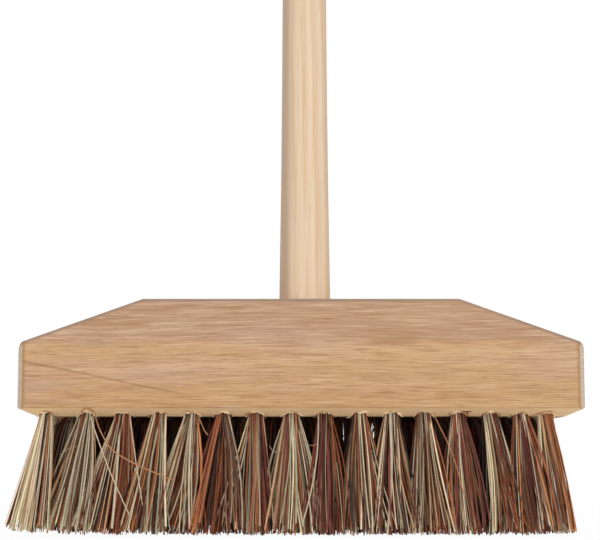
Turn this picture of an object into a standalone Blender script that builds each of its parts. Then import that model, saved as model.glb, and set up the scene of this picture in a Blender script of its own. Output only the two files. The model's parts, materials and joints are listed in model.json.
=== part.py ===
import math

import bmesh
import bpy
from mathutils import Matrix, Vector

# Deck brush: a solid wooden stock with three rows of fibre tufts set in blind
# holes, and a long round handle seated in a slanted, tapered socket in its top.
# Metres. +X runs along the stock, +Y away from its front face, +Z up.
# The origin is on the deck, under the middle of the stock.

# Stock, with its heights counted up from its underside
STOCK_LENGTH = 0.300
STOCK_DEPTH = 0.060
STOCK_HEIGHT = 0.063
FACE_HEIGHT = 0.037             # foot of the long slopes at front and back
FACE_SLOPE_RUN = 0.0105
END_HEIGHT = 0.0385             # foot of the slopes at the two ends
END_SLOPE_RUN = 0.065
SHOULDER_RADIUS = 0.005
UNDERSIDE_CHAMFER_RUN = 0.0095
UNDERSIDE_CHAMFER_RISE = 0.0042
CORNER_CHAMFER = 0.003
EDGE_BREAK = 0.0008

# Tuft holes, drilled into the underside at slightly uneven steps
COLUMN_SHARES = (               # places from the first hole of a row to its last
    0, 0.079, 0.153, 0.224, 0.291, 0.354, 0.419, 0.491,
    0.558, 0.627, 0.693, 0.756, 0.825, 0.890, 0.951, 1)
LEFT_MARGIN = 0.015             # left end to the middle of the first hole
RIGHT_MARGIN = 0.0205
SIDE_MARGIN = 0.009             # front or back face to the middle of its row
HOLE_RADIUS = 0.0045
HOLE_DEPTH = 0.018
LEFT_LEAN = math.radians(-10.5)
RIGHT_LEAN = math.radians(7.5)
ROW_LEAN = math.radians(7.0)

# Tufts
TRIM_LENGTH = 0.063             # underside to deck
DECK_CUT = 0.0005               # what the flat cut takes off an upright strand
INNER_STRAND_COUNT = 2
OUTER_STRAND_COUNT = 6
INNER_RING_SHARE = 0.35
STRAND_RADIUS = 0.00085
TIP_GAP = 0.0018                # between the strands of neighbouring tufts
ROOT_RIM = 0.0001               # flat of the root left round its strands
ROOT_OVERLAP = 0.001            # length of strand fused inside its root
KNEE_HEIGHT_SHARE = 0.5
KNEE_SPREAD_SHARE = 0.4

# Handle, seated along its own axis
HANDLE_LENGTH = 1.200           # stock's top to the handle's far end
HANDLE_LEAN = math.radians(25.0)
HANDLE_RADIUS = 0.0135
FOOT_RADIUS = 0.014
NOSE_RADIUS = 0.011
FOOT_LENGTH = 0.090             # stock's top to where the swell has gone
NOSE_CHAMFER = 0.0015
END_ROUNDING = 0.005
SOCKET_SHIFT_X = 0.002
SOCKET_SHIFT_Y = 0.002
SOCKET_FLOOR = 0.006            # wood left between socket and tuft holes

# Clearance between pieces, and how far a cutter overruns the wood
GAP = 0.0003
OVERRUN = 0.012

ROWS = {"front": -1, "middle": 0, "back": 1}
HOLE_SIDES = 12
ROOT_SIDES = 8
TURNED_STEPS = 32
ROUNDING_STEPS = 4
TUFT_TURN = math.pi * (3 - math.sqrt(5))    # golden angle, from tuft to tuft
BREAK_ANGLE = math.radians(30.0)
MERGE_DISTANCE = 0.00001

STOCK_COLOUR = (0.56, 0.35, 0.20)
HANDLE_COLOUR = (0.62, 0.47, 0.31)
WOOD_ROUGHNESS = 0.6
FIBRE_ROUGHNESS = 0.7
FIBRE_COLOURS = [
    (0.52, 0.44, 0.27),
    (0.24, 0.09, 0.04),
    (0.42, 0.22, 0.10),
    (0.11, 0.05, 0.035),
]

UNDERSIDE = TRIM_LENGTH
STOCK_TOP = UNDERSIDE + STOCK_HEIGHT
REST_POINT = Vector((0, 0, 0))


def clear_scene():
    for item in list(bpy.data.objects):
        bpy.data.objects.remove(item, do_unlink=True)


def new_collection(name):
    group = bpy.data.collections.new(name)
    bpy.context.scene.collection.children.link(group)
    return group


def new_object(name, shape, group):
    # Puts a bmesh into a named object and frees it
    bmesh.ops.recalc_face_normals(shape, faces=shape.faces[:])
    mesh = bpy.data.meshes.new(name)
    shape.to_mesh(mesh)
    shape.free()
    item = bpy.data.objects.new(name, mesh)
    group.objects.link(item)
    return item


def as_cutter(item):
    item.display_type = "WIRE"
    item.hide_render = True
    return item


def finish(item, colour, roughness):
    surface = bpy.data.materials.new(item.name + "_surface")
    surface.use_nodes = True
    shader = surface.node_tree.nodes["Principled BSDF"]
    shader.inputs["Base Color"].default_value = (*colour, 1)
    shader.inputs["Roughness"].default_value = roughness
    shader.inputs["Metallic"].default_value = 0
    item.data.materials.append(surface)


def add_boolean(item, other, operation):
    step = item.modifiers.new(operation.lower() + "_" + other.name, "BOOLEAN")
    step.operation = operation
    step.solver = "EXACT"
    step.object = other


def plane_off(shape, point, normal):
    # Planes the solid flat: what lies beyond the plane goes, and the cut is closed
    everything = shape.verts[:] + shape.edges[:] + shape.faces[:]
    cut = bmesh.ops.bisect_plane(
        shape, geom=everything, plane_co=point, plane_no=normal, clear_outer=True)
    rim = [part for part in cut["geom_cut"] if isinstance(part, bmesh.types.BMEdge)]
    if rim:
        bmesh.ops.edgeloop_fill(shape, edges=rim)


def slope_normal(run, rise, side):
    # Outward normal, across one axis and up, of a face that goes in by run over rise
    length = math.hypot(run, rise)
    return side * rise / length, run / length


def plane_long_sides(shape, side):
    face = side * STOCK_DEPTH / 2
    rise = STOCK_HEIGHT - FACE_HEIGHT
    across, up = slope_normal(FACE_SLOPE_RUN, rise, side)
    plane_off(shape, Vector((0, face, UNDERSIDE + FACE_HEIGHT)), Vector((0, across, up)))
    across, up = slope_normal(UNDERSIDE_CHAMFER_RUN, UNDERSIDE_CHAMFER_RISE, side)
    plane_off(shape, Vector((0, face, UNDERSIDE + UNDERSIDE_CHAMFER_RISE)),
              Vector((0, across, -up)))


def plane_end(shape, side):
    face = side * STOCK_LENGTH / 2
    rise = STOCK_HEIGHT - END_HEIGHT
    across, up = slope_normal(END_SLOPE_RUN, rise, side)
    plane_off(shape, Vector((face, 0, UNDERSIDE + END_HEIGHT)), Vector((across, 0, up)))

    # The shoulder between end and slope is rounded by a few flats round one centre
    tilt = math.atan2(up, abs(across))
    centre_x = face - side * SHOULDER_RADIUS
    centre_z = UNDERSIDE + END_HEIGHT - SHOULDER_RADIUS * math.tan(tilt / 2)
    for step in range(1, ROUNDING_STEPS):
        angle = tilt * step / ROUNDING_STEPS
        normal = Vector((side * math.cos(angle), 0, math.sin(angle)))
        plane_off(shape, Vector((centre_x, 0, centre_z)) + SHOULDER_RADIUS * normal, normal)

    across, up = slope_normal(UNDERSIDE_CHAMFER_RUN, UNDERSIDE_CHAMFER_RISE, side)
    plane_off(shape, Vector((face, 0, UNDERSIDE + UNDERSIDE_CHAMFER_RISE)),
              Vector((across, 0, -up)))


def plane_upright_corners(shape, side_x, side_y):
    corner = Vector((side_x * STOCK_LENGTH / 2, side_y * (STOCK_DEPTH / 2 - CORNER_CHAMFER), 0))
    plane_off(shape, corner, Vector((side_x, side_y, 0)).normalized())


def make_stock(group, cutters, holes):
    shape = bmesh.new()
    middle = Matrix.Translation((0, 0, UNDERSIDE + STOCK_HEIGHT / 2))
    size = Matrix.Diagonal((STOCK_LENGTH, STOCK_DEPTH, STOCK_HEIGHT, 1))
    bmesh.ops.create_cube(shape, size=1, matrix=middle @ size)
    for side in (-1, 1):
        plane_long_sides(shape, side)
        plane_end(shape, side)
        for other_side in (-1, 1):
            plane_upright_corners(shape, side, other_side)
    stock = new_object("stock", shape, group)

    edge_break = stock.modifiers.new("edge_break", "BEVEL")
    edge_break.width = EDGE_BREAK
    edge_break.segments = 1
    edge_break.limit_method = "ANGLE"
    edge_break.angle_limit = BREAK_ANGLE
    add_boolean(stock, make_hole_cutter(cutters, holes), "DIFFERENCE")
    add_boolean(stock, make_socket_cutter(cutters), "DIFFERENCE")
    finish(stock, STOCK_COLOUR, WOOD_ROUGHNESS)
    return stock


def row_shares(row):
    # The middle row's holes sit halfway between the columns of the other two
    if row != "middle":
        return COLUMN_SHARES
    return [(left + right) / 2 for left, right in zip(COLUMN_SHARES, COLUMN_SHARES[1:])]


def tuft_hole(row_side, along_share):
    # Mouth of a hole on the underside, and the slopes at which its tuft leans out
    row_length = STOCK_LENGTH - LEFT_MARGIN - RIGHT_MARGIN
    mouth = Vector((
        LEFT_MARGIN - STOCK_LENGTH / 2 + row_length * along_share,
        row_side * (STOCK_DEPTH / 2 - SIDE_MARGIN),
        UNDERSIDE))
    left = math.tan(LEFT_LEAN)
    right = math.tan(RIGHT_LEAN)
    lean = Vector((left + (right - left) * along_share, row_side * math.tan(ROW_LEAN)))
    return mouth, lean


def hole_frame(mouth, lean):
    # Frame at a hole's mouth whose Z runs up the hole, tilted without a twist
    up_the_hole = Vector((-lean.x, -lean.y, 1))
    turn = Vector((0, 0, 1)).rotation_difference(up_the_hole)
    return Matrix.Translation(mouth) @ turn.to_matrix().to_4x4()


def add_rod(shape, frame, radius, sides, low, high):
    bmesh.ops.create_cone(
        shape, cap_ends=True, segments=sides, radius1=radius, radius2=radius,
        depth=high - low, matrix=frame @ Matrix.Translation((0, 0, (low + high) / 2)))


def make_hole_cutter(cutters, holes):
    shape = bmesh.new()
    for mouth, lean in holes.values():
        add_rod(shape, hole_frame(mouth, lean), HOLE_RADIUS, HOLE_SIDES, -OVERRUN, HOLE_DEPTH)
    return as_cutter(new_object("tuft_hole_cutter", shape, cutters))


def middle_at_deck(hole):
    # Where a tuft's middle line meets the deck, along and across the stock
    mouth, lean = hole
    return mouth.xy + TRIM_LENGTH * lean


def tip_reach(holes, place):
    # How far a tuft's strands fan out at the deck, along and across the stock, so that
    # the named gap is left to the nearest tuft in its own row and to the next row
    own = middle_at_deck(holes[place])
    along, across = [], []
    for other_place, hole in holes.items():
        offset = middle_at_deck(hole) - own
        if other_place[0] != place[0]:
            across.append(abs(offset.y))
        elif other_place != place:
            along.append(abs(offset.x))
    pitches = (min(along), min(across))
    return [(pitch - TIP_GAP) / 2 - STRAND_RADIUS for pitch in pitches]


def root_radius():
    # Largest eight-sided root that keeps the gap inside the twelve-sided hole
    return HOLE_RADIUS * math.cos(math.pi / HOLE_SIDES) - GAP


def strand_pattern(turn):
    # Places of a tuft's strands in a circle of radius one: a few inside a ring
    places = []
    for count, out in ((INNER_STRAND_COUNT, INNER_RING_SHARE), (OUTER_STRAND_COUNT, 1)):
        for index in range(count):
            angle = turn + 2 * math.pi * (index + out / 2) / count
            places.append(out * Vector((math.cos(angle), math.sin(angle))))
    return places


def strand_routes(number, mouth, lean, reach):
    # Start inside the root, knee and tip of each strand. One pattern spaces them at
    # every height, so that no two strands cross.
    flat_radius = root_radius() * math.cos(math.pi / ROOT_SIDES)
    root_reach = flat_radius - ROOT_RIM - STRAND_RADIUS
    frame = hole_frame(mouth, lean)
    routes = []
    for pattern in strand_pattern(number * TUFT_TURN):
        start = frame @ Vector((*(root_reach * pattern), ROOT_OVERLAP))
        root = frame @ Vector((*(root_reach * pattern), 0))
        fan = Vector((
            lean.x * TRIM_LENGTH + (reach[0] - root_reach) * pattern.x,
            lean.y * TRIM_LENGTH + (reach[1] - root_reach) * pattern.y,
            -TRIM_LENGTH))
        length = TRIM_LENGTH + DECK_CUT
        tip = root + fan.normalized() * length
        tip.z = max(tip.z, REST_POINT.z)
        routes.append([start, knee_between(root, tip, mouth, lean), tip])
    return routes


def knee_between(root, tip, mouth, lean):
    # Above its knee a strand keeps closer to its tuft's middle line than below it
    middle = Vector((lean.x, lean.y, -1))
    root_out = root - mouth
    tip_out = tip - mouth - middle * (mouth.z - tip.z)
    out = root_out.lerp(tip_out, KNEE_SPREAD_SHARE)
    drop = (mouth.z - tip.z) * KNEE_HEIGHT_SHARE
    return mouth + middle * drop + Vector((out.x, out.y, 0))


def aim_at_rest_point(all_routes):
    # The strand that ends nearest the brush's middle ends exactly under it
    strands = [route for routes in all_routes.values() for route in routes]
    nearest = min(strands, key=lambda route: (route[2] - REST_POINT).length)
    shift = REST_POINT - nearest[2]
    nearest[1] += shift * KNEE_SPREAD_SHARE
    nearest[2] += shift


def add_strand(shape, route):
    # A three-sided bar drawn along its route from a level triangle
    ring = bmesh.ops.create_circle(
        shape, cap_ends=True, segments=3, radius=STRAND_RADIUS,
        matrix=Matrix.Translation(route[0]))
    face = ring["verts"][0].link_faces[0]
    for start, end in zip(route, route[1:]):
        step = bmesh.ops.extrude_face_region(shape, geom=[face])["geom"]
        if start != route[0]:
            bmesh.ops.delete(shape, geom=[face], context="FACES_ONLY")
        corners = [part for part in step if isinstance(part, bmesh.types.BMVert)]
        bmesh.ops.translate(shape, verts=corners, vec=end - start)
        face = next(part for part in step if isinstance(part, bmesh.types.BMFace))


def make_tuft(name, number, mouth, lean, routes, group, cutters):
    shape = bmesh.new()
    add_rod(shape, hole_frame(mouth, lean), root_radius(), ROOT_SIDES, 0, HOLE_DEPTH - GAP)
    tuft = new_object(name, shape, group)
    strands = bmesh.new()
    for route in routes:
        add_strand(strands, route)
    add_boolean(tuft, as_cutter(new_object(name + "_strands", strands, cutters)), "UNION")
    finish(tuft, FIBRE_COLOURS[number % len(FIBRE_COLOURS)], FIBRE_ROUGHNESS)


def make_tufts(group, cutters, holes):
    all_routes = {}
    for number, (place, hole) in enumerate(holes.items()):
        all_routes[place] = strand_routes(number, *hole, tip_reach(holes, place))
    aim_at_rest_point(all_routes)
    for number, (place, (mouth, lean)) in enumerate(holes.items()):
        row, column = place
        name = f"tuft_{row}_{column + 1:02d}"
        make_tuft(name, number, mouth, lean, all_routes[place], group, cutters)


def turned(name, profile, group):
    # Turns a half outline, listed from its top down its outer side, about Z
    shape = bmesh.new()
    points = [shape.verts.new((radius, 0, height)) for radius, height in profile]
    for start, end in zip(points, points[1:]):
        shape.edges.new((start, end))
    mesh = bpy.data.meshes.new(name)
    shape.to_mesh(mesh)
    shape.free()
    item = bpy.data.objects.new(name, mesh)
    group.objects.link(item)
    turn = item.modifiers.new("turn", "SCREW")
    turn.steps = TURNED_STEPS
    turn.render_steps = TURNED_STEPS
    turn.use_merge_vertices = True
    turn.merge_threshold = MERGE_DISTANCE
    turn.use_smooth_shade = True
    return item


def socket_depth():
    # Down the handle's axis, so that the lowest rim of the socket's floor stays clear
    # of the tuft holes
    room = STOCK_HEIGHT - HOLE_DEPTH - SOCKET_FLOOR
    return (room - (NOSE_RADIUS + GAP) * math.sin(HANDLE_LEAN)) / math.cos(HANDLE_LEAN)


def seat_on_axis(item):
    # The axis leans back from the middle of the socket's mouth
    item.location = (SOCKET_SHIFT_X, SOCKET_SHIFT_Y, STOCK_TOP)
    item.rotation_euler = (-HANDLE_LEAN, 0, 0)


def make_socket_cutter(cutters):
    profile = [
        (0, OVERRUN),
        (FOOT_RADIUS + GAP, OVERRUN),
        (FOOT_RADIUS + GAP, 0),
        (NOSE_RADIUS + GAP, -socket_depth()),
        (0, -socket_depth()),
    ]
    cutter = as_cutter(turned("socket_cutter", profile, cutters))
    seat_on_axis(cutter)
    return cutter


def make_handle(group):
    nose = GAP - socket_depth()
    profile = [(0, HANDLE_LENGTH)]
    for step in range(ROUNDING_STEPS + 1):
        angle = math.pi / 2 * (1 - step / ROUNDING_STEPS)
        profile.append((
            HANDLE_RADIUS - END_ROUNDING * (1 - math.cos(angle)),
            HANDLE_LENGTH - END_ROUNDING * (1 - math.sin(angle))))
    profile += [
        (HANDLE_RADIUS, FOOT_LENGTH),
        (FOOT_RADIUS, 0),
        (NOSE_RADIUS, nose + NOSE_CHAMFER),
        (NOSE_RADIUS - NOSE_CHAMFER, nose),
        (0, nose),
    ]
    handle = turned("handle", profile, group)
    seat_on_axis(handle)
    finish(handle, HANDLE_COLOUR, WOOD_ROUGHNESS)


def main():
    clear_scene()
    parts = new_collection("deck_brush")
    cutters = new_collection("deck_brush_cutters")
    holes = {}
    for row, row_side in ROWS.items():
        for column, along_share in enumerate(row_shares(row)):
            holes[row, column] = tuft_hole(row_side, along_share)
    make_stock(parts, cutters, holes)
    make_tufts(parts, cutters, holes)
    make_handle(parts)
    bpy.context.view_layer.update()


main()
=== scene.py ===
import json
import math
import random

import bmesh
import bpy
from mathutils import Matrix, Vector


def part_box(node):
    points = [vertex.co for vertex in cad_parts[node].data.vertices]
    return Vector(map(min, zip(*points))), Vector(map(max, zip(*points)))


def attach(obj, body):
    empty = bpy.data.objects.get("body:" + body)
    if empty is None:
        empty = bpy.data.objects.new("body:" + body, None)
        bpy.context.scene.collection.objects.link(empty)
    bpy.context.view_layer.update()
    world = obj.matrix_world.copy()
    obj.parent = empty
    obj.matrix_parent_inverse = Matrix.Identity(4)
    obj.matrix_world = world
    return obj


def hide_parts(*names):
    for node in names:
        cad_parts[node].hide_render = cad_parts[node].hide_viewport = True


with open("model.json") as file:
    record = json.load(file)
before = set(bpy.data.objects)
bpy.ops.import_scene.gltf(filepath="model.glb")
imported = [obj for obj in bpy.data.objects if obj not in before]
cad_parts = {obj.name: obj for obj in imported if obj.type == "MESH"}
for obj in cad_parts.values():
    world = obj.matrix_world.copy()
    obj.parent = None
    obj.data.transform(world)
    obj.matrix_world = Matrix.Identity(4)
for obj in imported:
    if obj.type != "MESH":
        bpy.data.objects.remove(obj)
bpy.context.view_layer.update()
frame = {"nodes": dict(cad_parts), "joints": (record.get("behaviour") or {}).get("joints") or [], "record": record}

# all places are in metres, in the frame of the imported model
stockLow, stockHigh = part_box("stock")
underside = stockLow.z
stockTop = stockHigh.z
handleAxis = Vector(frame["joints"][0]["axis"]).normalized()
handleLean = math.atan2(handleAxis.y, handleAxis.z)


def newMaterial(name):
    material = bpy.data.materials.new(name)
    material.use_nodes = True
    tree = material.node_tree
    return material, tree, tree.nodes["Principled BSDF"]


def addNode(tree, kind, **settings):
    node = tree.nodes.new("ShaderNode" + kind)
    for key, value in settings.items():
        setattr(node, key, value)
    return node


def feed(tree, socket, source):
    # a socket takes either a link or a plain value
    if isinstance(source, bpy.types.NodeSocket):
        tree.links.new(source, socket)
    else:
        socket.default_value = source


def calc(tree, operation, first, second=0.0, clamp=False):
    node = addNode(tree, "Math", operation=operation, use_clamp=clamp)
    feed(tree, node.inputs[0], first)
    feed(tree, node.inputs[1], second)
    return node.outputs[0]


def stretched(tree, coords, scale, detail=2.0, rough=0.5):
    # noise drawn out by its own scale on each axis
    mapping = addNode(tree, "Mapping")
    mapping.inputs["Scale"].default_value = scale
    feed(tree, mapping.inputs["Vector"], coords)
    noise = addNode(tree, "TexNoise")
    noise.inputs["Scale"].default_value = 1.0
    noise.inputs["Detail"].default_value = detail
    noise.inputs["Roughness"].default_value = rough
    feed(tree, noise.inputs["Vector"], mapping.outputs[0])
    return noise.outputs["Fac"]


def between(tree, value, low, high):
    # 0 below low, 1 above high, even in between
    node = addNode(tree, "MapRange")
    feed(tree, node.inputs["Value"], value)
    node.inputs["From Min"].default_value = low
    node.inputs["From Max"].default_value = high
    return node.outputs[0]


def inside(tree, value, low, high):
    above = calc(tree, "GREATER_THAN", value, low)
    return calc(tree, "MULTIPLY", above, calc(tree, "LESS_THAN", value, high))


def blend(tree, factor, first, second, mode="MIX"):
    node = addNode(tree, "Mix", data_type="RGBA", blend_type=mode)
    feed(tree, node.inputs[0], factor)
    for socket, colour in ((node.inputs[6], first), (node.inputs[7], second)):
        feed(tree, socket, colour if isinstance(colour, bpy.types.NodeSocket) else (*colour, 1))
    return node.outputs[2]


def layGrain(tree, colour, look, sources):
    # each layer comes in as its source goes from one value to another, up to its share
    for source, start, full, share, name in look["layers"]:
        mask = calc(tree, "MULTIPLY", between(tree, sources[source], start, full), share)
        colour = blend(tree, mask, colour, look[name])
    return colour


def addBump(tree, shader, height, strength, depth):
    bump = addNode(tree, "Bump")
    bump.inputs["Strength"].default_value = strength
    bump.inputs["Distance"].default_value = depth
    feed(tree, bump.inputs["Height"], height)
    tree.links.new(bump.outputs[0], shader.inputs["Normal"])


# planed hardwood of the stock, its grain along X
stockWood = {
    "main": (0.640, 0.405, 0.245),
    "low": (0.600, 0.345, 0.160),       # more golden towards the underside
    "slopeShade": (0.490, 0.296, 0.190),     # painted shade, pinker and duller on the long slopes
    "pink": (0.600, 0.385, 0.272),
    "gold": (0.620, 0.375, 0.172),
    "pale": (0.740, 0.520, 0.345),
    "streak": (0.400, 0.215, 0.112),
    "line": (0.320, 0.155, 0.055),
    "rim": (0.430, 0.225, 0.080),       # beside the cut corners
    "grime": (0.270, 0.190, 0.140),     # along the upper edges
    "corner": (0.650, 0.515, 0.405),    # cut corners and end grain, greyer
    "cornerShade": (0.560, 0.430, 0.330),
    "endRing": (0.470, 0.335, 0.230),
    # the underside chamfers are painted lighter: painted light from below
    "litChamfer": (0.980, 0.700, 0.410),
    "litChamferGrain": (0.900, 0.620, 0.340),
    "pithY": 0.030,
    "pithZ": -0.080,
    "growthDrift": 0.0060,
    "golden": (0.092, 0.074),           # the front turns golden between these heights
    "slopeFray": 0.022,                 # how far the painted shade of the slopes strays from their edge
    "grains": {                         # scale along, across and outwards, detail, roughness
        "fine": ((38.0, 200.0, 1800.0), 3.0, 0.62),
        "dashes": ((70.0, 220.0, 1900.0), 1.5, 0.5),
        "middling": ((9.0, 50.0, 350.0), 2.5, 0.5),
        "patches": ((11.0, 20.0, 55.0), 2.0, 0.5),
    },
    "layers": (                         # source, value at the start and in full, share, colour
        ("patches", 0.50, 0.62, 0.80, "pink"),
        ("patches", 0.48, 0.38, 0.80, "gold"),
        ("frayedHeight", 0.097, 0.103, 0.85, "slopeShade"),
        ("middling", 0.51, 0.36, 0.20, "streak"),
        ("middling", 0.53, 0.68, 0.24, "pale"),
        ("fine", 0.48, 0.34, 0.70, "streak"),
        ("fine", 0.52, 0.66, 0.60, "pale"),
        ("dashes", 0.60, 0.68, 0.62, "streak"),
    ),
    "stopLine": (-0.1463, 0.0908),      # a place on the one clear brown line
    "stopSlope": -0.192,
    "stopWander": 0.0030,
    "stopFade": (0.0008, 0.0002),       # from its middle
    "stopEnd": (-0.052, -0.070),
    "stopShare": 0.62,
    "faintScale": (3.5, 14.0, 230.0),
    "faintFade": (0.050, 0.012),
    "faintShare": 0.42,
    "poreScale": (110.0, 1400.0, 1400.0),
    "poreFade": (0.64, 0.73),
    "poreShare": 0.50,
    # which way a face points tells what it is: down, sideways, forward or up
    "chamferDown": (-0.97, -0.60),
    "endSideways": (0.80, 1.1),
    "cornerSideways": (0.62, 0.80),
    "slopeSideways": (0.30, 0.62),
    "cornerBreakSideways": (0.25, 0.60),
    "topBreakForward": (0.40, 0.75),
    "topBreakUp": (0.62, 0.92),
    "rimFade": (0.1452, 0.1462),
    "rimShare": 0.72,
    "shoulder": (0.085, 0.150),         # where the end slopes start and stop along X
    "shoulderDrop": 0.0245,
    "grimeFade": (0.0021, 0.0013),      # below the upper edge
    "grimeShare": 0.66,
    "relief": 0.00018,
}


def makeStockWood():
    look = stockWood
    material, tree, shader = newMaterial("stockWood")
    coords = addNode(tree, "TexCoord").outputs["Object"]
    split = addNode(tree, "SeparateXYZ")
    feed(tree, split.inputs[0], coords)
    along, across, height = split.outputs

    # growth level: distance from a pith far below, pulled about along the board
    fromY = calc(tree, "SUBTRACT", across, look["pithY"])
    fromZ = calc(tree, "SUBTRACT", height, look["pithZ"])
    square = calc(tree, "ADD", calc(tree, "MULTIPLY", fromY, fromY),
                  calc(tree, "MULTIPLY", fromZ, fromZ))
    sway = stretched(tree, coords, (7.0, 7.0, 14.0), detail=1.5)
    drift = calc(tree, "MULTIPLY", calc(tree, "SUBTRACT", sway, 0.5), look["growthDrift"])
    level = calc(tree, "ADD", calc(tree, "SQRT", square), drift)
    grainSpace = addNode(tree, "CombineXYZ")
    for socket, value in zip(grainSpace.inputs, (along, across, level)):
        feed(tree, socket, value)
    grain = grainSpace.outputs[0]

    sources = {name: stretched(tree, grain, *spec) for name, spec in look["grains"].items()}
    fine, dashes, patches = sources["fine"], sources["dashes"], sources["patches"]

    # the painted shade on the long slopes follows the grain, not the edge
    fray = calc(tree, "MULTIPLY", calc(tree, "SUBTRACT", patches, 0.5), look["slopeFray"])
    sources["frayedHeight"] = calc(tree, "ADD", height, fray)
    colour = blend(tree, between(tree, height, *look["golden"]), look["main"], look["low"])
    colour = layGrain(tree, colour, look, sources)

    # where growth stopped: one clear line at the left, and fainter ones elsewhere
    lineX, lineZ = look["stopLine"]
    falling = calc(tree, "MULTIPLY", calc(tree, "SUBTRACT", along, lineX), look["stopSlope"])
    wander = calc(tree, "MULTIPLY", calc(tree, "SUBTRACT", sway, 0.5), look["stopWander"])
    lineHeight = calc(tree, "ADD", calc(tree, "ADD", falling, lineZ), wander)
    stop = calc(tree, "ABSOLUTE", calc(tree, "SUBTRACT", height, lineHeight))
    leftEnd = between(tree, along, *look["stopEnd"])
    lineMask = calc(tree, "MULTIPLY", between(tree, stop, *look["stopFade"]), leftEnd)
    lineMask = calc(tree, "MULTIPLY", lineMask, between(tree, dashes, 0.20, 0.48))
    colour = blend(tree, calc(tree, "MULTIPLY", lineMask, look["stopShare"]),
                   colour, look["line"])
    lines = stretched(tree, grain, look["faintScale"], detail=0.5)
    thin = calc(tree, "ABSOLUTE", calc(tree, "SUBTRACT", lines, 0.5))
    seen = between(tree, stretched(tree, coords, (30.0, 30.0, 110.0), detail=1.5), 0.46, 0.60)
    faintMask = calc(tree, "MULTIPLY", between(tree, thin, *look["faintFade"]), seen)
    colour = blend(tree, calc(tree, "MULTIPLY", faintMask, look["faintShare"]),
                   colour, look["line"])

    # short dark pores
    pores = stretched(tree, coords, look["poreScale"], detail=1.0)
    poreMask = between(tree, pores, *look["poreFade"])
    colour = blend(tree, calc(tree, "MULTIPLY", poreMask, look["poreShare"]),
                   colour, look["line"])

    # which way each face points
    facing = addNode(tree, "NewGeometry").outputs["True Normal"]
    splitFacing = addNode(tree, "SeparateXYZ")
    feed(tree, splitFacing.inputs[0], facing)
    sideways = calc(tree, "ABSOLUTE", splitFacing.outputs[0])
    forward = calc(tree, "ABSOLUTE", splitFacing.outputs[1])
    upward = splitFacing.outputs[2]

    # underside chamfers are painted lighter, a painted light from below
    chamfer = inside(tree, upward, *look["chamferDown"])
    litChamferColour = blend(tree, between(tree, fine, 0.36, 0.64), look["litChamferGrain"],
                       look["litChamfer"])
    colour = blend(tree, calc(tree, "MULTIPLY", chamfer, 0.92), colour, litChamferColour)

    # end grain and the cut corners: arcs instead of streaks
    arcs = stretched(tree, grain, (40.0, 90.0, 800.0), detail=3.0, rough=0.6)
    endColour = blend(tree, between(tree, arcs, 0.40, 0.62), look["endRing"], look["corner"])
    cornerColour = blend(tree, between(tree, arcs, 0.30, 0.60), look["cornerShade"],
                         look["corner"])
    colour = blend(tree, inside(tree, sideways, *look["endSideways"]), colour, endColour)
    colour = blend(tree, inside(tree, sideways, *look["cornerSideways"]), colour, cornerColour)
    endSlope = inside(tree, sideways, *look["slopeSideways"])
    colour = blend(tree, calc(tree, "MULTIPLY", endSlope, 0.25), colour, endColour)

    # broken edges hold a little dirt, and the faces are browner beside the corners
    cornerBreak = calc(tree, "MULTIPLY", inside(tree, sideways, *look["cornerBreakSideways"]),
                       calc(tree, "GREATER_THAN", forward, 0.75))
    topBreak = calc(tree, "MULTIPLY", inside(tree, forward, *look["topBreakForward"]),
                    inside(tree, upward, *look["topBreakUp"]))
    distance = calc(tree, "ABSOLUTE", along)
    rim = calc(tree, "MULTIPLY", between(tree, distance, *look["rimFade"]),
               calc(tree, "GREATER_THAN", forward, 0.90))
    rim = calc(tree, "MULTIPLY", rim, between(tree, dashes, 0.28, 0.55))
    edgeMask = calc(tree, "MAXIMUM", calc(tree, "MULTIPLY", cornerBreak, 0.70),
                    calc(tree, "MULTIPLY", rim, look["rimShare"]))
    colour = blend(tree, edgeMask, colour, look["rim"])

    # handling has left a grey line along the upper edges of the long slopes
    start, stopX = look["shoulder"]
    past = calc(tree, "DIVIDE", calc(tree, "SUBTRACT", distance, start), stopX - start, True)
    edgeHeight = calc(tree, "MULTIPLY", past, -look["shoulderDrop"])
    below = calc(tree, "SUBTRACT", calc(tree, "ADD", edgeHeight, stockTop), height)
    grimy = calc(tree, "MULTIPLY", between(tree, below, *look["grimeFade"]),
                 calc(tree, "GREATER_THAN", forward, 0.40))
    grimy = calc(tree, "MAXIMUM", grimy, topBreak)
    grimy = calc(tree, "MULTIPLY", grimy, between(tree, patches, 0.20, 0.45))
    colour = blend(tree, calc(tree, "MULTIPLY", grimy, look["grimeShare"]),
                   colour, look["grime"])

    tree.links.new(colour, shader.inputs["Base Color"])
    rough = calc(tree, "ADD", calc(tree, "MULTIPLY", fine, 0.22), 0.50)
    tree.links.new(rough, shader.inputs["Roughness"])
    shader.inputs["Specular IOR Level"].default_value = 0.25
    relief = calc(tree, "SUBTRACT", fine, calc(tree, "MULTIPLY", poreMask, 0.7))
    relief = calc(tree, "SUBTRACT", relief, calc(tree, "MULTIPLY", lineMask, 0.4))
    addBump(tree, shader, relief, 0.30, look["relief"])
    return material


stock = frame["nodes"]["stock"]
stock.data.materials.clear()
stock.data.materials.append(makeStockWood())
print("stock: wood laid on")


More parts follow.
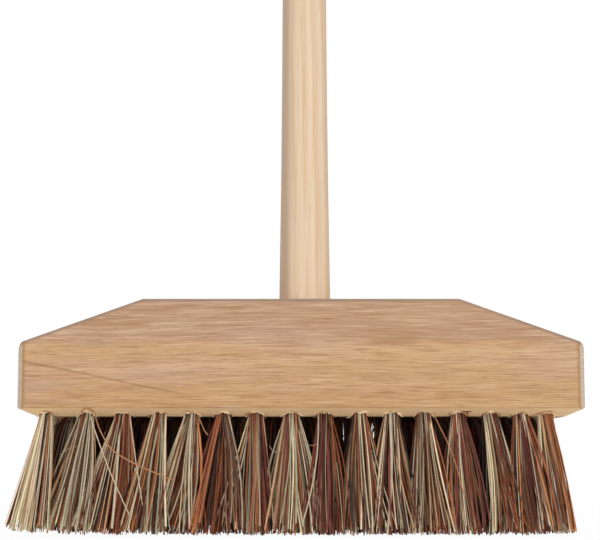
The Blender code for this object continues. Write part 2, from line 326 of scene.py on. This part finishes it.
# the handle, a turned softwood pole on the axis of its joint
handlePole = {
    "length": 1.200,
    "radius": 0.0135,
    "footRadius": 0.014,
    "noseRadius": 0.011,
    "noseDepth": 0.03746,
    "footLength": 0.090,
    "noseChamfer": 0.0015,
    "endRounding": 0.005,
    "sides": 72,
    "roundingSteps": 8,
    "shaftSteps": 40,
    "swellSteps": 6,
    "wobble": 0.00006,                  # a turned shaft isn't quite even
    "ringSpacing": 0.0056,
    "ringDrift": 0.009,
    "pith": (0.071, -0.018),            # middle of the growth rings, beside the pole
    "relief": 0.00015,
    "early": (0.780, 0.590, 0.405),
    "late": (0.670, 0.450, 0.265),
    "peach": (0.710, 0.450, 0.235),
    "cream": (0.835, 0.670, 0.500),
    "dull": (0.470, 0.330, 0.220),
    "wornAndShaded": (0.500, 0.350, 0.245),
    "grains": {                         # scale across twice and along, detail, roughness
        "fine": ((1100.0, 1100.0, 16.0), 3.0, 0.6),
        "broad": ((150.0, 150.0, 3.0), 1.0, 0.5),
        "specks": ((700.0, 700.0, 60.0), 1.0, 0.5),
    },
    "layers": (                         # source, value at the start and in full, share, colour
        ("fine", 0.47, 0.64, 0.45, "cream"),
        ("fine", 0.48, 0.34, 0.30, "late"),
        ("broad", 0.52, 0.70, 0.50, "cream"),
        ("specks", 0.68, 0.78, 0.25, "dull"),
        ("side", -0.0068, -0.0105, 0.72, "wornAndShaded"),   # the left side is painted grey: painted shade and wear from handling
    ),
}


def handleMouth():
    # the pole's axis at the level of the stock's top
    low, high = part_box("handle")
    end = next(mount for mount in frame["record"]["mounts"] if mount["name"] == "handle_end")
    foot = Vector(end["pos_m"]) - handleAxis * handlePole["length"]
    return Vector(((low.x + high.x) / 2, foot.y, stockTop))


def makeHandleWood(mouth):
    look = handlePole
    material, tree, shader = newMaterial("handleWood")
    coords = addNode(tree, "TexCoord").outputs["Object"]
    turn = Matrix.Rotation(handleLean, 3, "X")
    upright = addNode(tree, "Mapping")
    upright.inputs["Rotation"].default_value = (handleLean, 0, 0)
    upright.inputs["Location"].default_value = -(turn @ mouth)
    feed(tree, upright.inputs["Vector"], coords)
    local = upright.outputs[0]
    split = addNode(tree, "SeparateXYZ")
    feed(tree, split.inputs[0], local)

    sway = stretched(tree, local, (30.0, 30.0, 3.5), detail=2.0)
    drift = calc(tree, "MULTIPLY", calc(tree, "SUBTRACT", sway, 0.5), look["ringDrift"])
    sideX = calc(tree, "SUBTRACT", split.outputs[0], look["pith"][0])
    sideY = calc(tree, "SUBTRACT", split.outputs[1], look["pith"][1])
    square = calc(tree, "ADD", calc(tree, "MULTIPLY", sideX, sideX),
                  calc(tree, "MULTIPLY", sideY, sideY))
    fromPith = calc(tree, "ADD", calc(tree, "SQRT", square), drift)
    ring = calc(tree, "FRACT", calc(tree, "DIVIDE", fromPith, look["ringSpacing"]))
    lateWood = calc(tree, "MULTIPLY", between(tree, ring, 0.25, 0.72),
                    between(tree, ring, 1.0, 0.80))
    uneven = between(tree, stretched(tree, local, (130.0, 130.0, 2.0), detail=1.0), 0.30, 0.62)
    lateWood = calc(tree, "MULTIPLY", lateWood, calc(tree, "ADD", 0.25, uneven), True)
    colour = blend(tree, lateWood, look["early"], look["late"])
    # here and there the last of a year's wood is a thin peach line
    lastWood = calc(tree, "MULTIPLY", between(tree, ring, 0.66, 0.80),
                    between(tree, ring, 0.96, 0.86))
    reddish = between(tree, stretched(tree, local, (90.0, 90.0, 12.0), detail=2.0), 0.46, 0.62)
    colour = blend(tree, calc(tree, "MULTIPLY", calc(tree, "MULTIPLY", lastWood, reddish), 0.7),
                   colour, look["peach"])

    sources = {name: stretched(tree, local, *spec) for name, spec in look["grains"].items()}
    sources["side"] = split.outputs[0]
    colour = layGrain(tree, colour, look, sources)
    tree.links.new(colour, shader.inputs["Base Color"])
    shader.inputs["Roughness"].default_value = 0.55
    shader.inputs["Specular IOR Level"].default_value = 0.3
    height = calc(tree, "SUBTRACT", sources["fine"], calc(tree, "MULTIPLY", lateWood, 0.4))
    addBump(tree, shader, height, 0.25, look["relief"])
    return material


def makeHandle():
    size = handlePole
    length, radius, nose = size["length"], size["radius"], size["noseDepth"]
    outline = [(0, length)]
    for step in range(size["roundingSteps"] + 1):
        angle = math.pi / 2 * (1 - step / size["roundingSteps"])
        outline.append((radius - size["endRounding"] * (1 - math.cos(angle)),
                        length - size["endRounding"] * (1 - math.sin(angle))))
    top = length - size["endRounding"]
    for step in range(1, size["shaftSteps"] + 1):
        up = top + step / size["shaftSteps"] * (size["footLength"] - top)
        outline.append((radius + size["wobble"] * math.sin(up * 31) * math.sin(up * 7), up))
    for step in range(1, size["swellSteps"] + 1):   # the swell above the stock
        share = step / size["swellSteps"]
        outline.append((radius + (size["footRadius"] - radius) * share,
                        size["footLength"] * (1 - share)))
    outline += [(size["noseRadius"], size["noseChamfer"] - nose),
                (size["noseRadius"] - size["noseChamfer"], -nose), (0, -nose)]

    shape = bmesh.new()
    points = [shape.verts.new((out, 0, up)) for out, up in outline]
    for first, second in zip(points, points[1:]):
        shape.edges.new((first, second))
    bmesh.ops.spin(shape, geom=shape.verts[:] + shape.edges[:], axis=(0, 0, 1), cent=(0, 0, 0),
                   angle=2 * math.pi, steps=size["sides"], use_duplicate=False)
    bmesh.ops.remove_doubles(shape, verts=shape.verts[:], dist=0.000005)
    bmesh.ops.recalc_face_normals(shape, faces=shape.faces[:])
    mouth = handleMouth()
    shape.transform(Matrix.Translation(mouth) @ Matrix.Rotation(-handleLean, 4, "X"))
    mesh = bpy.data.meshes.new("handlePole")
    shape.to_mesh(mesh)
    shape.free()
    mesh.shade_smooth()
    mesh.set_sharp_from_angle(angle=math.radians(35))
    pole = bpy.data.objects.new("handlePole", mesh)
    bpy.context.scene.collection.objects.link(pole)
    mesh.materials.append(makeHandleWood(mouth))
    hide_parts("handle")
    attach(pole, "handle")
    print("handle: turned,", len(mesh.polygons), "faces")


makeHandle()


# where the holes are, and how far the tufts lean out of them
tuftLayout = {
    # places from the first hole of the outer rows to the last, as the wood was drilled
    "columnShares": (0, 0.079, 0.153, 0.224, 0.291, 0.354, 0.419, 0.491,
                     0.558, 0.627, 0.693, 0.756, 0.825, 0.890, 0.951, 1),
    "leftMargin": 0.015,
    "rightMargin": 0.0205,
    "sideMargin": 0.009,
    "leftLean": math.radians(-10.5),
    "rightLean": math.radians(7.5),
    "rowLean": math.radians(7.0),
    "rows": {"front": -1, "middle": 0, "back": 1},
}

# the fibres of a tuft lie in clumps of one colour
tuftFibres = {
    "count": {"front": 98, "middle": 150, "back": 98},
    "endCount": 1.25,                   # more in the tufts at the ends of a row
    "clumps": {"front": 14, "middle": 10, "back": 14},
    "pitchReach": {"front": 0.72, "middle": 0.98, "back": 0.80},    # of the way to the next
    "endReach": (0.0162, 0.0060),       # past the first tuft of a row and past the last
    "endShort": (0.0010, 0.0004),       # and how much shorter those two are
    "reachY": {"front": 0.0105, "middle": 0.0110, "back": 0.0105},
    "flare": {"front": 1.00, "middle": 0.35, "back": 0.65},     # below 1 spreads early
    "sides": {"front": 6, "middle": 4, "back": 6},
    "rootRadius": 0.0040,
    "rootDepth": 0.006,
    "clumpSway": 0.0032,
    "ownSway": 0.0012,
    "stray": 0.06,                      # share of fibres that go their own way
    "straySway": 0.0065,
    "thin": 0.00021,
    "thick": 0.00066,
    "thinning": 1.8,                    # above 1 more fibres are thin
    "bow": 0.0020,
    "clumpBow": 0.6,                    # share of the bow that a clump has, and a fibre
    "fibreBow": 0.3,
    "endBow": 0.35,                     # tufts at the ends of a row are straighter
    "routeShares": (0.07, 0.18, 0.36, 0.58, 0.80),      # where a fibre bends on its way down
    "short": 0.0004,                    # tips end this far above the deck, and up to
    "uneven": 0.0056,                   # this much further
    "lowestTips": (0.0001, 0.0006),
    "leftmost": -0.1544,                # tips stay between these
    "rightmost": 0.1438,
    "edgeScatter": 0.0035,
    "innerShade": 0.30,                   # painted shade between the rows
    "endShade": 0.45,
    "shade": (0.75, 1.22),              # how much one fibre's tone differs from its colour's
    "pale": {"cream": (0.820, 0.685, 0.465), "sage": (0.540, 0.480, 0.335),
             "tan": (0.620, 0.360, 0.190)},
    "dark": {"orange": (0.550, 0.205, 0.075), "rust": (0.330, 0.105, 0.045),
             "brown": (0.145, 0.066, 0.040), "wine": (0.190, 0.044, 0.033),
             "black": (0.030, 0.018, 0.014)},
    "paleMix": (6, 4, 3),
    "darkMix": (3, 7, 6, 6, 5),
    "ownColour": 0.55,                  # share of fibres unlike the rest of their clump
    # share of pale fibres in each front tuft, from the left
    "paleShares": (0.52, 0.56, 0.24, 0.44, 0.44, 0.20, 0.30, 0.64,
                   0.24, 0.40, 0.36, 0.30, 0.18, 0.46, 0.34, 0.48),
    "backPale": (0.25, 0.50),
    # the middle row takes few pale fibres, to look dark as painted shade between the front tufts
    "innerPale": 0.05,
    "innerEndPale": 0.30,
}

lots = random.Random(11)


def rowShares(row):
    # the middle row is drilled halfway between the columns of the other two
    shares = tuftLayout["columnShares"]
    if row != "middle":
        return shares
    return [(left + right) / 2 for left, right in zip(shares, shares[1:])]


def tuftPlace(row, column):
    size = tuftLayout
    share = rowShares(row)[column]
    first = stockLow.x + size["leftMargin"]
    last = stockHigh.x - size["rightMargin"]
    side = size["rows"][row]
    mouth = Vector((first + (last - first) * share,
                    side * (stockHigh.y - size["sideMargin"]), underside))
    left, right = math.tan(size["leftLean"]), math.tan(size["rightLean"])
    return mouth, Vector((left + (right - left) * share, side * math.tan(size["rowLean"]), -1))


def fanReach(row, column):
    # how far the tips spread to the left and to the right
    reach = []
    mouth, lean = tuftPlace(row, column)
    for step in (-1, 1):
        if 0 <= column + step < len(rowShares(row)):
            other, otherLean = tuftPlace(row, column + step)
            pitch = abs(other.x - mouth.x + (otherLean.x - lean.x) * mouth.z)
            reach.append(pitch * tuftFibres["pitchReach"][row])
        else:
            reach.append(tuftFibres["endReach"][0 if step < 0 else 1])
    return reach


def pickColour(paleShare):
    group = "pale" if lots.random() < paleShare else "dark"
    colours = tuftFibres[group]
    name = lots.choices(list(colours), tuftFibres[group + "Mix"])[0]
    return colours[name]


def scatter(width):
    return Vector((lots.gauss(0, width), lots.gauss(0, width), 0))


def discPoint():
    turn = lots.uniform(0, 2 * math.pi)
    out = math.sqrt(lots.random())
    return Vector((out * math.cos(turn), out * math.sin(turn), 0))


def makeClumps(row, paleShare):
    clumps = []
    for _ in range(tuftFibres["clumps"][row]):
        clumps.append({"place": discPoint(), "colour": pickColour(paleShare),
                       "sway": scatter(tuftFibres["clumpSway"]),
                       "bow": scatter(tuftFibres["bow"] * tuftFibres["clumpBow"])})
    return clumps


def fibreRoute(row, mouth, lean, reach, pattern, sway, bow, short):
    # from up inside the hole, through its mouth, to a tip near the deck
    size = tuftFibres
    root = mouth + pattern * size["rootRadius"]
    reachX = reach[1] if pattern.x > 0 else reach[0]
    spread = Vector((pattern.x * reachX, pattern.y * size["reachY"][row], 0))
    fan = lean * mouth.z + spread + sway - pattern * size["rootRadius"]
    length = underside - short - size["uneven"] * lots.random() ** 2
    tip = root + fan.normalized() * length
    tip.x = min(max(tip.x, size["leftmost"] + lots.uniform(0, size["edgeScatter"])),
                size["rightmost"] - lots.uniform(0, size["edgeScatter"]))
    tip.z = max(tip.z, lots.uniform(*size["lowestTips"]))
    up = Vector((-lean.x, -lean.y, 1)) * size["rootDepth"]
    points = [root + up, root]
    for share in size["routeShares"]:
        height = root.z + (tip.z - root.z) * share
        middle = mouth + lean * (mouth.z - height)
        tipMiddle = mouth + lean * (mouth.z - tip.z)
        aside = (root - mouth).lerp(tip - tipMiddle, share ** size["flare"][row])
        point = middle + Vector((aside.x, aside.y, 0))
        points.append(point + bow * math.sin(math.pi * share))
    points.append(tip)
    return points


def newBundle():
    # fibres gathered into one mesh, with a tone on each corner
    return {"verts": [], "faces": [], "tones": []}


def addFibre(bundle, points, halfWidth, colour, sides=4, tipTone=1.15, tipWidth=0.9):
    base = len(bundle["verts"])
    last = len(points) - 1
    twist = lots.uniform(0, math.pi)
    flat = lots.uniform(0.55, 0.95)
    for index, point in enumerate(points):
        ahead = (points[min(index + 1, last)] - points[max(index - 1, 0)]).normalized()
        first = ahead.cross(Vector((math.cos(twist), math.sin(twist), 0.2))).normalized()
        second = ahead.cross(first)
        width = halfWidth * (tipWidth if index == last else 1.0)
        # the default tipTone paints the tips of the tufts lighter, a painted light on their lower ends
        tone = tipTone if index == last else 1.0
        for side in range(sides):
            angle = 2 * math.pi * side / sides
            bundle["verts"].append(point + first * (math.cos(angle) * width)
                                   + second * (math.sin(angle) * width * flat))
            bundle["tones"].append([min(channel * tone, 1.0) for channel in colour])
    for index in range(last):
        ring = base + index * sides
        for side in range(sides):
            following = (side + 1) % sides
            bundle["faces"].append((ring + side, ring + following,
                                    ring + sides + following, ring + sides + side))
    bundle["faces"].append(tuple(base + side for side in reversed(range(sides))))
    bundle["faces"].append(tuple(base + last * sides + side for side in range(sides)))


def bundlePiece(bundle, name, material):
    mesh = bpy.data.meshes.new(name)
    mesh.from_pydata(bundle["verts"], [], bundle["faces"])
    layer = mesh.color_attributes.new("fibreTone", "FLOAT_COLOR", "POINT")
    for entry, tone in zip(layer.data, bundle["tones"]):
        entry.color = (*tone, 1)
    mesh.shade_smooth()
    mesh.set_sharp_from_angle(angle=math.radians(65))
    mesh.materials.append(material)
    piece = bpy.data.objects.new(name, mesh)
    bpy.context.scene.collection.objects.link(piece)
    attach(piece, "head")
    return piece


def makeFibreMaterial(name, mottleScale, roughness):
    material, tree, shader = newMaterial(name)
    tone = addNode(tree, "Attribute", attribute_name="fibreTone").outputs["Color"]
    coords = addNode(tree, "TexCoord").outputs["Object"]
    mottle = stretched(tree, coords, mottleScale, detail=3.0, rough=0.6)
    dark = between(tree, mottle, 0.52, 0.30)
    light = between(tree, mottle, 0.54, 0.74)
    colour = blend(tree, calc(tree, "MULTIPLY", dark, 0.45), tone, (0.55, 0.47, 0.42),
                   "MULTIPLY")
    colour = blend(tree, calc(tree, "MULTIPLY", light, 0.07), colour, (0.75, 0.50, 0.30))
    tree.links.new(colour, shader.inputs["Base Color"])
    shader.inputs["Roughness"].default_value = roughness
    shader.inputs["Specular IOR Level"].default_value = 0.20
    addBump(tree, shader, mottle, 0.3, 0.0001)
    return material


fibreMaterial = makeFibreMaterial("plantFibre", (800.0, 800.0, 60.0), 0.45)


def shaded(colour, low=0.82, high=1.18):
    shade = lots.uniform(low, high)
    return [channel * shade * lots.uniform(0.95, 1.05) for channel in colour]


def makeTuft(row, column):
    size = tuftFibres
    mouth, lean = tuftPlace(row, column)
    reach = fanReach(row, column)
    atEnd = column in (0, len(rowShares(row)) - 1)
    short = size["short"] + (size["endShort"][0 if column == 0 else 1] if atEnd else 0)
    paleShare = size["paleShares"][column]
    # the middle row is darkened: painted shade between the rows
    paintedShade = 1.0
    if row == "back":
        paleShare = lots.uniform(*size["backPale"])
    if row == "middle":
        paleShare = size["innerEndPale"] if atEnd else size["innerPale"]
        paintedShade = size["endShade"] if atEnd else size["innerShade"]
    clumps = makeClumps(row, paleShare)
    bundle = newBundle()
    for _ in range(round(size["count"][row] * (size["endCount"] if atEnd else 1))):
        pattern = discPoint()
        clump = min(clumps, key=lambda one: (one["place"] - pattern).length)
        ownColour = lots.random() < size["ownColour"]
        colour = pickColour(paleShare) if ownColour else clump["colour"]
        strays = lots.random() < size["stray"] and not atEnd
        own = size["straySway"] if strays else size["ownSway"]
        bow = clump["bow"] + scatter(size["bow"] * size["fibreBow"])
        bow *= size["endBow"] if atEnd else 1
        points = fibreRoute(row, mouth, lean, reach, pattern, clump["sway"] + scatter(own),
                            bow, short)
        spare = size["thick"] - size["thin"]
        halfWidth = size["thin"] + spare * lots.random() ** size["thinning"]
        tone = [channel * paintedShade for channel in shaded(colour, *size["shade"])]
        addFibre(bundle, points, halfWidth, tone, size["sides"][row])
    node = f"tuft_{row}_{column + 1:02d}"
    piece = bundlePiece(bundle, f"{node}_fibres", fibreMaterial)
    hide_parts(node)
    return len(bundle["faces"])


faceCount = 0
for rowName in tuftLayout["rows"]:
    for columnIndex in range(len(rowShares(rowName))):
        faceCount += makeTuft(rowName, columnIndex)
print("tufts: laid,", faceCount, "faces")


# fibres that have come loose in front, and slivers of wood at the lips of the holes
looseEnds = {
    "fibres": (                         # half width, colour, route
        (0.00040, (0.80, 0.66, 0.48), ((-0.1116, -0.0232, 0.0665), (-0.1113, -0.0262, 0.0622),
                                       (-0.0997, -0.0370, 0.0347), (-0.0879, -0.0375, 0.0094))),
        (0.00032, (0.52, 0.24, 0.11), ((-0.1090, -0.0232, 0.0665), (-0.1084, -0.0262, 0.0618),
                                       (-0.1040, -0.0340, 0.0530), (-0.0975, -0.0385, 0.0445),
                                       (-0.0839, -0.0390, 0.0368), (-0.0658, -0.0385, 0.0292))),
        (0.00040, (0.72, 0.62, 0.44), ((-0.0907, -0.0232, 0.0660), (-0.0902, -0.0262, 0.0610),
                                       (-0.0862, -0.0360, 0.0399), (-0.0822, -0.0370, 0.0166))),
        (0.00028, (0.52, 0.26, 0.14), ((-0.0555, -0.0232, 0.0655), (-0.0535, -0.0262, 0.0610),
                                       (-0.0509, -0.0300, 0.0555), (-0.0488, -0.0315, 0.0529))),
        (0.00022, (0.46, 0.30, 0.21), ((-0.1130, -0.0260, 0.0470), (-0.1200, -0.0300, 0.0466),
                                       (-0.1232, -0.0305, 0.0448), (-0.1265, -0.0300, 0.0425))),
        (0.00022, (0.40, 0.26, 0.19), ((-0.0168, -0.0260, 0.0475), (-0.0150, -0.0300, 0.0448),
                                       (-0.0125, -0.0305, 0.0440), (-0.0098, -0.0280, 0.0448))),
        (0.00022, (0.42, 0.27, 0.19), ((0.0015, -0.0260, 0.0500), (0.0040, -0.0300, 0.0478),
                                       (0.0065, -0.0305, 0.0475), (0.0090, -0.0270, 0.0490))),
        (0.00026, (0.62, 0.26, 0.10), ((0.0705, -0.0232, 0.0660), (0.0712, -0.0262, 0.0615),
                                       (0.0790, -0.0330, 0.0430), (0.0850, -0.0365, 0.0200))),
    ),
    "sliverWood": (0.93, 0.70, 0.46),
    "sliverDark": (0.50, 0.24, 0.10),
    "sliverDarkShare": 0.28,
    "sliversPerHole": (9, 19),
    "sliverStart": 0.0046,              # from the middle of the hole, just past its edge
    "sliverTurn": 1.45,                 # how far round the hole from its outermost point
    "sliverLength": (0.0012, 0.0042),   # the shortest, and up to this much more
    "sliverThinning": 1.8,
    "sliverHalfWidth": (0.00020, 0.00048),
    "sliverHang": (0.0001, 0.0011),     # below the wood
    "shredProud": 0.0003,
    # a curl of wood over the second hole and a splinter over the thirteenth: half width,
    # colour, and route, along the stock and up the chamfer as a share of it
    "shreds": (
        (0.00034, (0.50, 0.22, 0.09), ((-0.1162, 0.55), (-0.1147, 0.88), (-0.1128, 1.00),
                                       (-0.1107, 0.84), (-0.1092, 0.50))),
        (0.00042, (0.17, 0.055, 0.035), ((0.0872, 0.62), (0.0880, 0.50), (0.0883, 0.15),
                                         (0.0884, -0.35))),
        (0.00026, (0.17, 0.055, 0.035), ((0.0850, 0.66), (0.0868, 0.60), (0.0900, 0.62))),
    ),
}
chamferRun, chamferRise = 0.0095, 0.0042


def smoothed(route):
    points = [Vector(point) for point in route]
    smooth = [points[0]]
    for index in range(len(points) - 1):
        before = points[max(index - 1, 0)]
        after = points[min(index + 2, len(points) - 1)]
        start, end = points[index], points[index + 1]
        for step in range(1, 6):
            share = step / 5
            pull = (end - before) * (share * (1 - share) ** 2)
            pull -= (after - start) * (share ** 2 * (1 - share))
            straight = (end - start) * (share * (1 - share) * (1 - 2 * share))
            smooth.append(start.lerp(end, share) + (pull * 0.5 - straight))
    return smooth


def makeLooseFibres():
    bundle = newBundle()
    for halfWidth, colour, route in looseEnds["fibres"]:
        addFibre(bundle, smoothed(route), halfWidth, colour, sides=6, tipTone=0.9)
    bundlePiece(bundle, "looseFibres", fibreMaterial)


def lipHeight(depth):
    # level of the wood at a distance from the middle line, on the flat or the chamfer
    past = abs(depth) - (stockHigh.y - chamferRun)
    return underside + max(past, 0) * chamferRise / chamferRun


def onChamfer(along, share, proud):
    # a place on the front chamfer, a little proud of the wood
    depth = stockLow.y + chamferRun * (1 - share)
    return Vector((along, depth - proud * 0.4, underside + chamferRise * share - proud))


def makeSlivers():
    size = looseEnds
    material = makeFibreMaterial("splinteredWood", (500.0, 500.0, 500.0), 0.65)
    bundle = newBundle()
    for row in ("front", "back"):
        side = tuftLayout["rows"][row]
        for column in range(len(rowShares(row))):
            mouth, _ = tuftPlace(row, column)
            for _ in range(lots.randint(*size["sliversPerHole"])):
                turn = lots.uniform(-size["sliverTurn"], size["sliverTurn"])
                out = Vector((math.sin(turn), side * math.cos(turn), 0))
                start = mouth + out * size["sliverStart"]
                start.z = lipHeight(start.y) - size["sliverHang"][0]
                tangent = Vector((out.y, -out.x, 0)) * lots.choice((-1, 1))
                shortest, more = size["sliverLength"]
                length = shortest + more * lots.random() ** size["sliverThinning"]
                end = start + tangent * length + out * lots.uniform(-0.0006, 0.0007)
                middle = start.lerp(end, 0.5) + out * 0.0003
                for point in (middle, end):
                    point.z = lipHeight(point.y) - lots.uniform(*size["sliverHang"])
                dark = lots.random() < size["sliverDarkShare"]
                colour = size["sliverDark" if dark else "sliverWood"]
                addFibre(bundle, [start, middle, end], lots.uniform(*size["sliverHalfWidth"]),
                         shaded(colour), sides=4, tipTone=1.0, tipWidth=0.25)
    for halfWidth, colour, places in size["shreds"]:
        route = [onChamfer(along, share, size["shredProud"]) for along, share in places]
        addFibre(bundle, smoothed(route), halfWidth, colour, sides=6, tipTone=1.0,
                 tipWidth=0.3)
    bundlePiece(bundle, "lipSlivers", material)
    print("loose ends:", len(bundle["faces"]), "faces of slivers")


makeLooseFibres()
makeSlivers()


studio = {
    "floor": (0.94, 0.94, 0.94),
    "floorHalf": 6.0,
    "glow": 0.955,                      # how much of the floor's white is its own, rising
    "glowRise": (0.35, 1.4),            # to all of it between these distances
    "world": 0.42,
    "lampTarget": (0, 0, 0.10),
    "lamps": (                          # name, place, width, watts
        ("keyLamp", (1.8, -1.7, 0.42), 1.6, 14.5),
        ("fillLamp", (-1.9, -1.7, 0.38), 1.6, 6.0),
        ("frontLamp", (0.0, -2.2, 0.12), 1.2, 10.5),
        ("topLamp", (0.1, -0.9, 2.3), 1.8, 18.0),
        ("backLamp", (0.1, 1.1, 2.2), 1.6, 11.0),
    ),
}


def directlySeen(tree):
    path = addNode(tree, "LightPath")
    seen = calc(tree, "ADD", path.outputs["Is Camera Ray"], path.outputs["Is Glossy Ray"])
    return calc(tree, "ADD", seen, path.outputs["Is Transmission Ray"], True)


def makeFloor():
    shape = bmesh.new()
    bmesh.ops.create_grid(shape, x_segments=1, y_segments=1, size=studio["floorHalf"])
    mesh = bpy.data.meshes.new("studioFloor")
    shape.to_mesh(mesh)
    shape.free()
    floor = bpy.data.objects.new("studioFloor", mesh)
    bpy.context.scene.collection.objects.link(floor)
    material, tree, shader = newMaterial("studioFloor")
    shader.inputs["Base Color"].default_value = (*studio["floor"], 1)
    shader.inputs["Roughness"].default_value = 0.9
    glow = addNode(tree, "Emission")
    coords = addNode(tree, "TexCoord").outputs["Object"]
    away = addNode(tree, "VectorMath", operation="LENGTH")
    feed(tree, away.inputs[0], coords)
    far = between(tree, away.outputs["Value"], *studio["glowRise"])
    share = calc(tree, "ADD", calc(tree, "MULTIPLY", far, 1 - studio["glow"]), studio["glow"])
    mix = addNode(tree, "MixShader")
    feed(tree, mix.inputs[0], calc(tree, "MULTIPLY", directlySeen(tree), share))
    tree.links.new(shader.outputs[0], mix.inputs[1])
    tree.links.new(glow.outputs[0], mix.inputs[2])
    tree.links.new(mix.outputs[0], tree.nodes["Material Output"].inputs["Surface"])
    mesh.materials.append(material)


def makeWorld():
    world = bpy.data.worlds.new("studioWorld")
    world.use_nodes = True
    bpy.context.scene.world = world
    tree = world.node_tree
    background = tree.nodes["Background"]
    background.inputs["Color"].default_value = (1, 1, 1, 1)
    extra = calc(tree, "MULTIPLY", directlySeen(tree), 1.0 - studio["world"])
    feed(tree, background.inputs["Strength"], calc(tree, "ADD", extra, studio["world"]))


def makeLamps():
    target = Vector(studio["lampTarget"])
    for name, place, width, watts in studio["lamps"]:
        lamp = bpy.data.lights.new(name, "AREA")
        lamp.shape = "SQUARE"
        lamp.size = width
        lamp.energy = watts
        holder = bpy.data.objects.new(name, lamp)
        holder.location = place
        holder.rotation_euler = (target - Vector(place)).to_track_quat("-Z", "Y").to_euler()
        bpy.context.scene.collection.objects.link(holder)


photoCamera = {
    "place": (0.0, -0.8798, 0.036),
    "pitch": math.radians(6.993),       # up from level
    "yaw": math.radians(0.041),
    "lens": 96.6,
    "sensor": 36.0,
}


def makeCamera():
    camera = bpy.data.cameras.new("photoCamera")
    camera.lens = photoCamera["lens"]
    camera.sensor_width = photoCamera["sensor"]
    camera.clip_start = 0.05
    camera.clip_end = 60
    holder = bpy.data.objects.new("photoCamera", camera)
    holder.location = photoCamera["place"]
    holder.rotation_euler = (math.pi / 2 + photoCamera["pitch"], 0, photoCamera["yaw"])
    bpy.context.scene.collection.objects.link(holder)
    bpy.context.scene.camera = holder


makeFloor()
makeWorld()
makeLamps()
makeCamera()
bpy.context.scene.view_settings.view_transform = "Standard"
print("studio: floor, lamps and camera set")
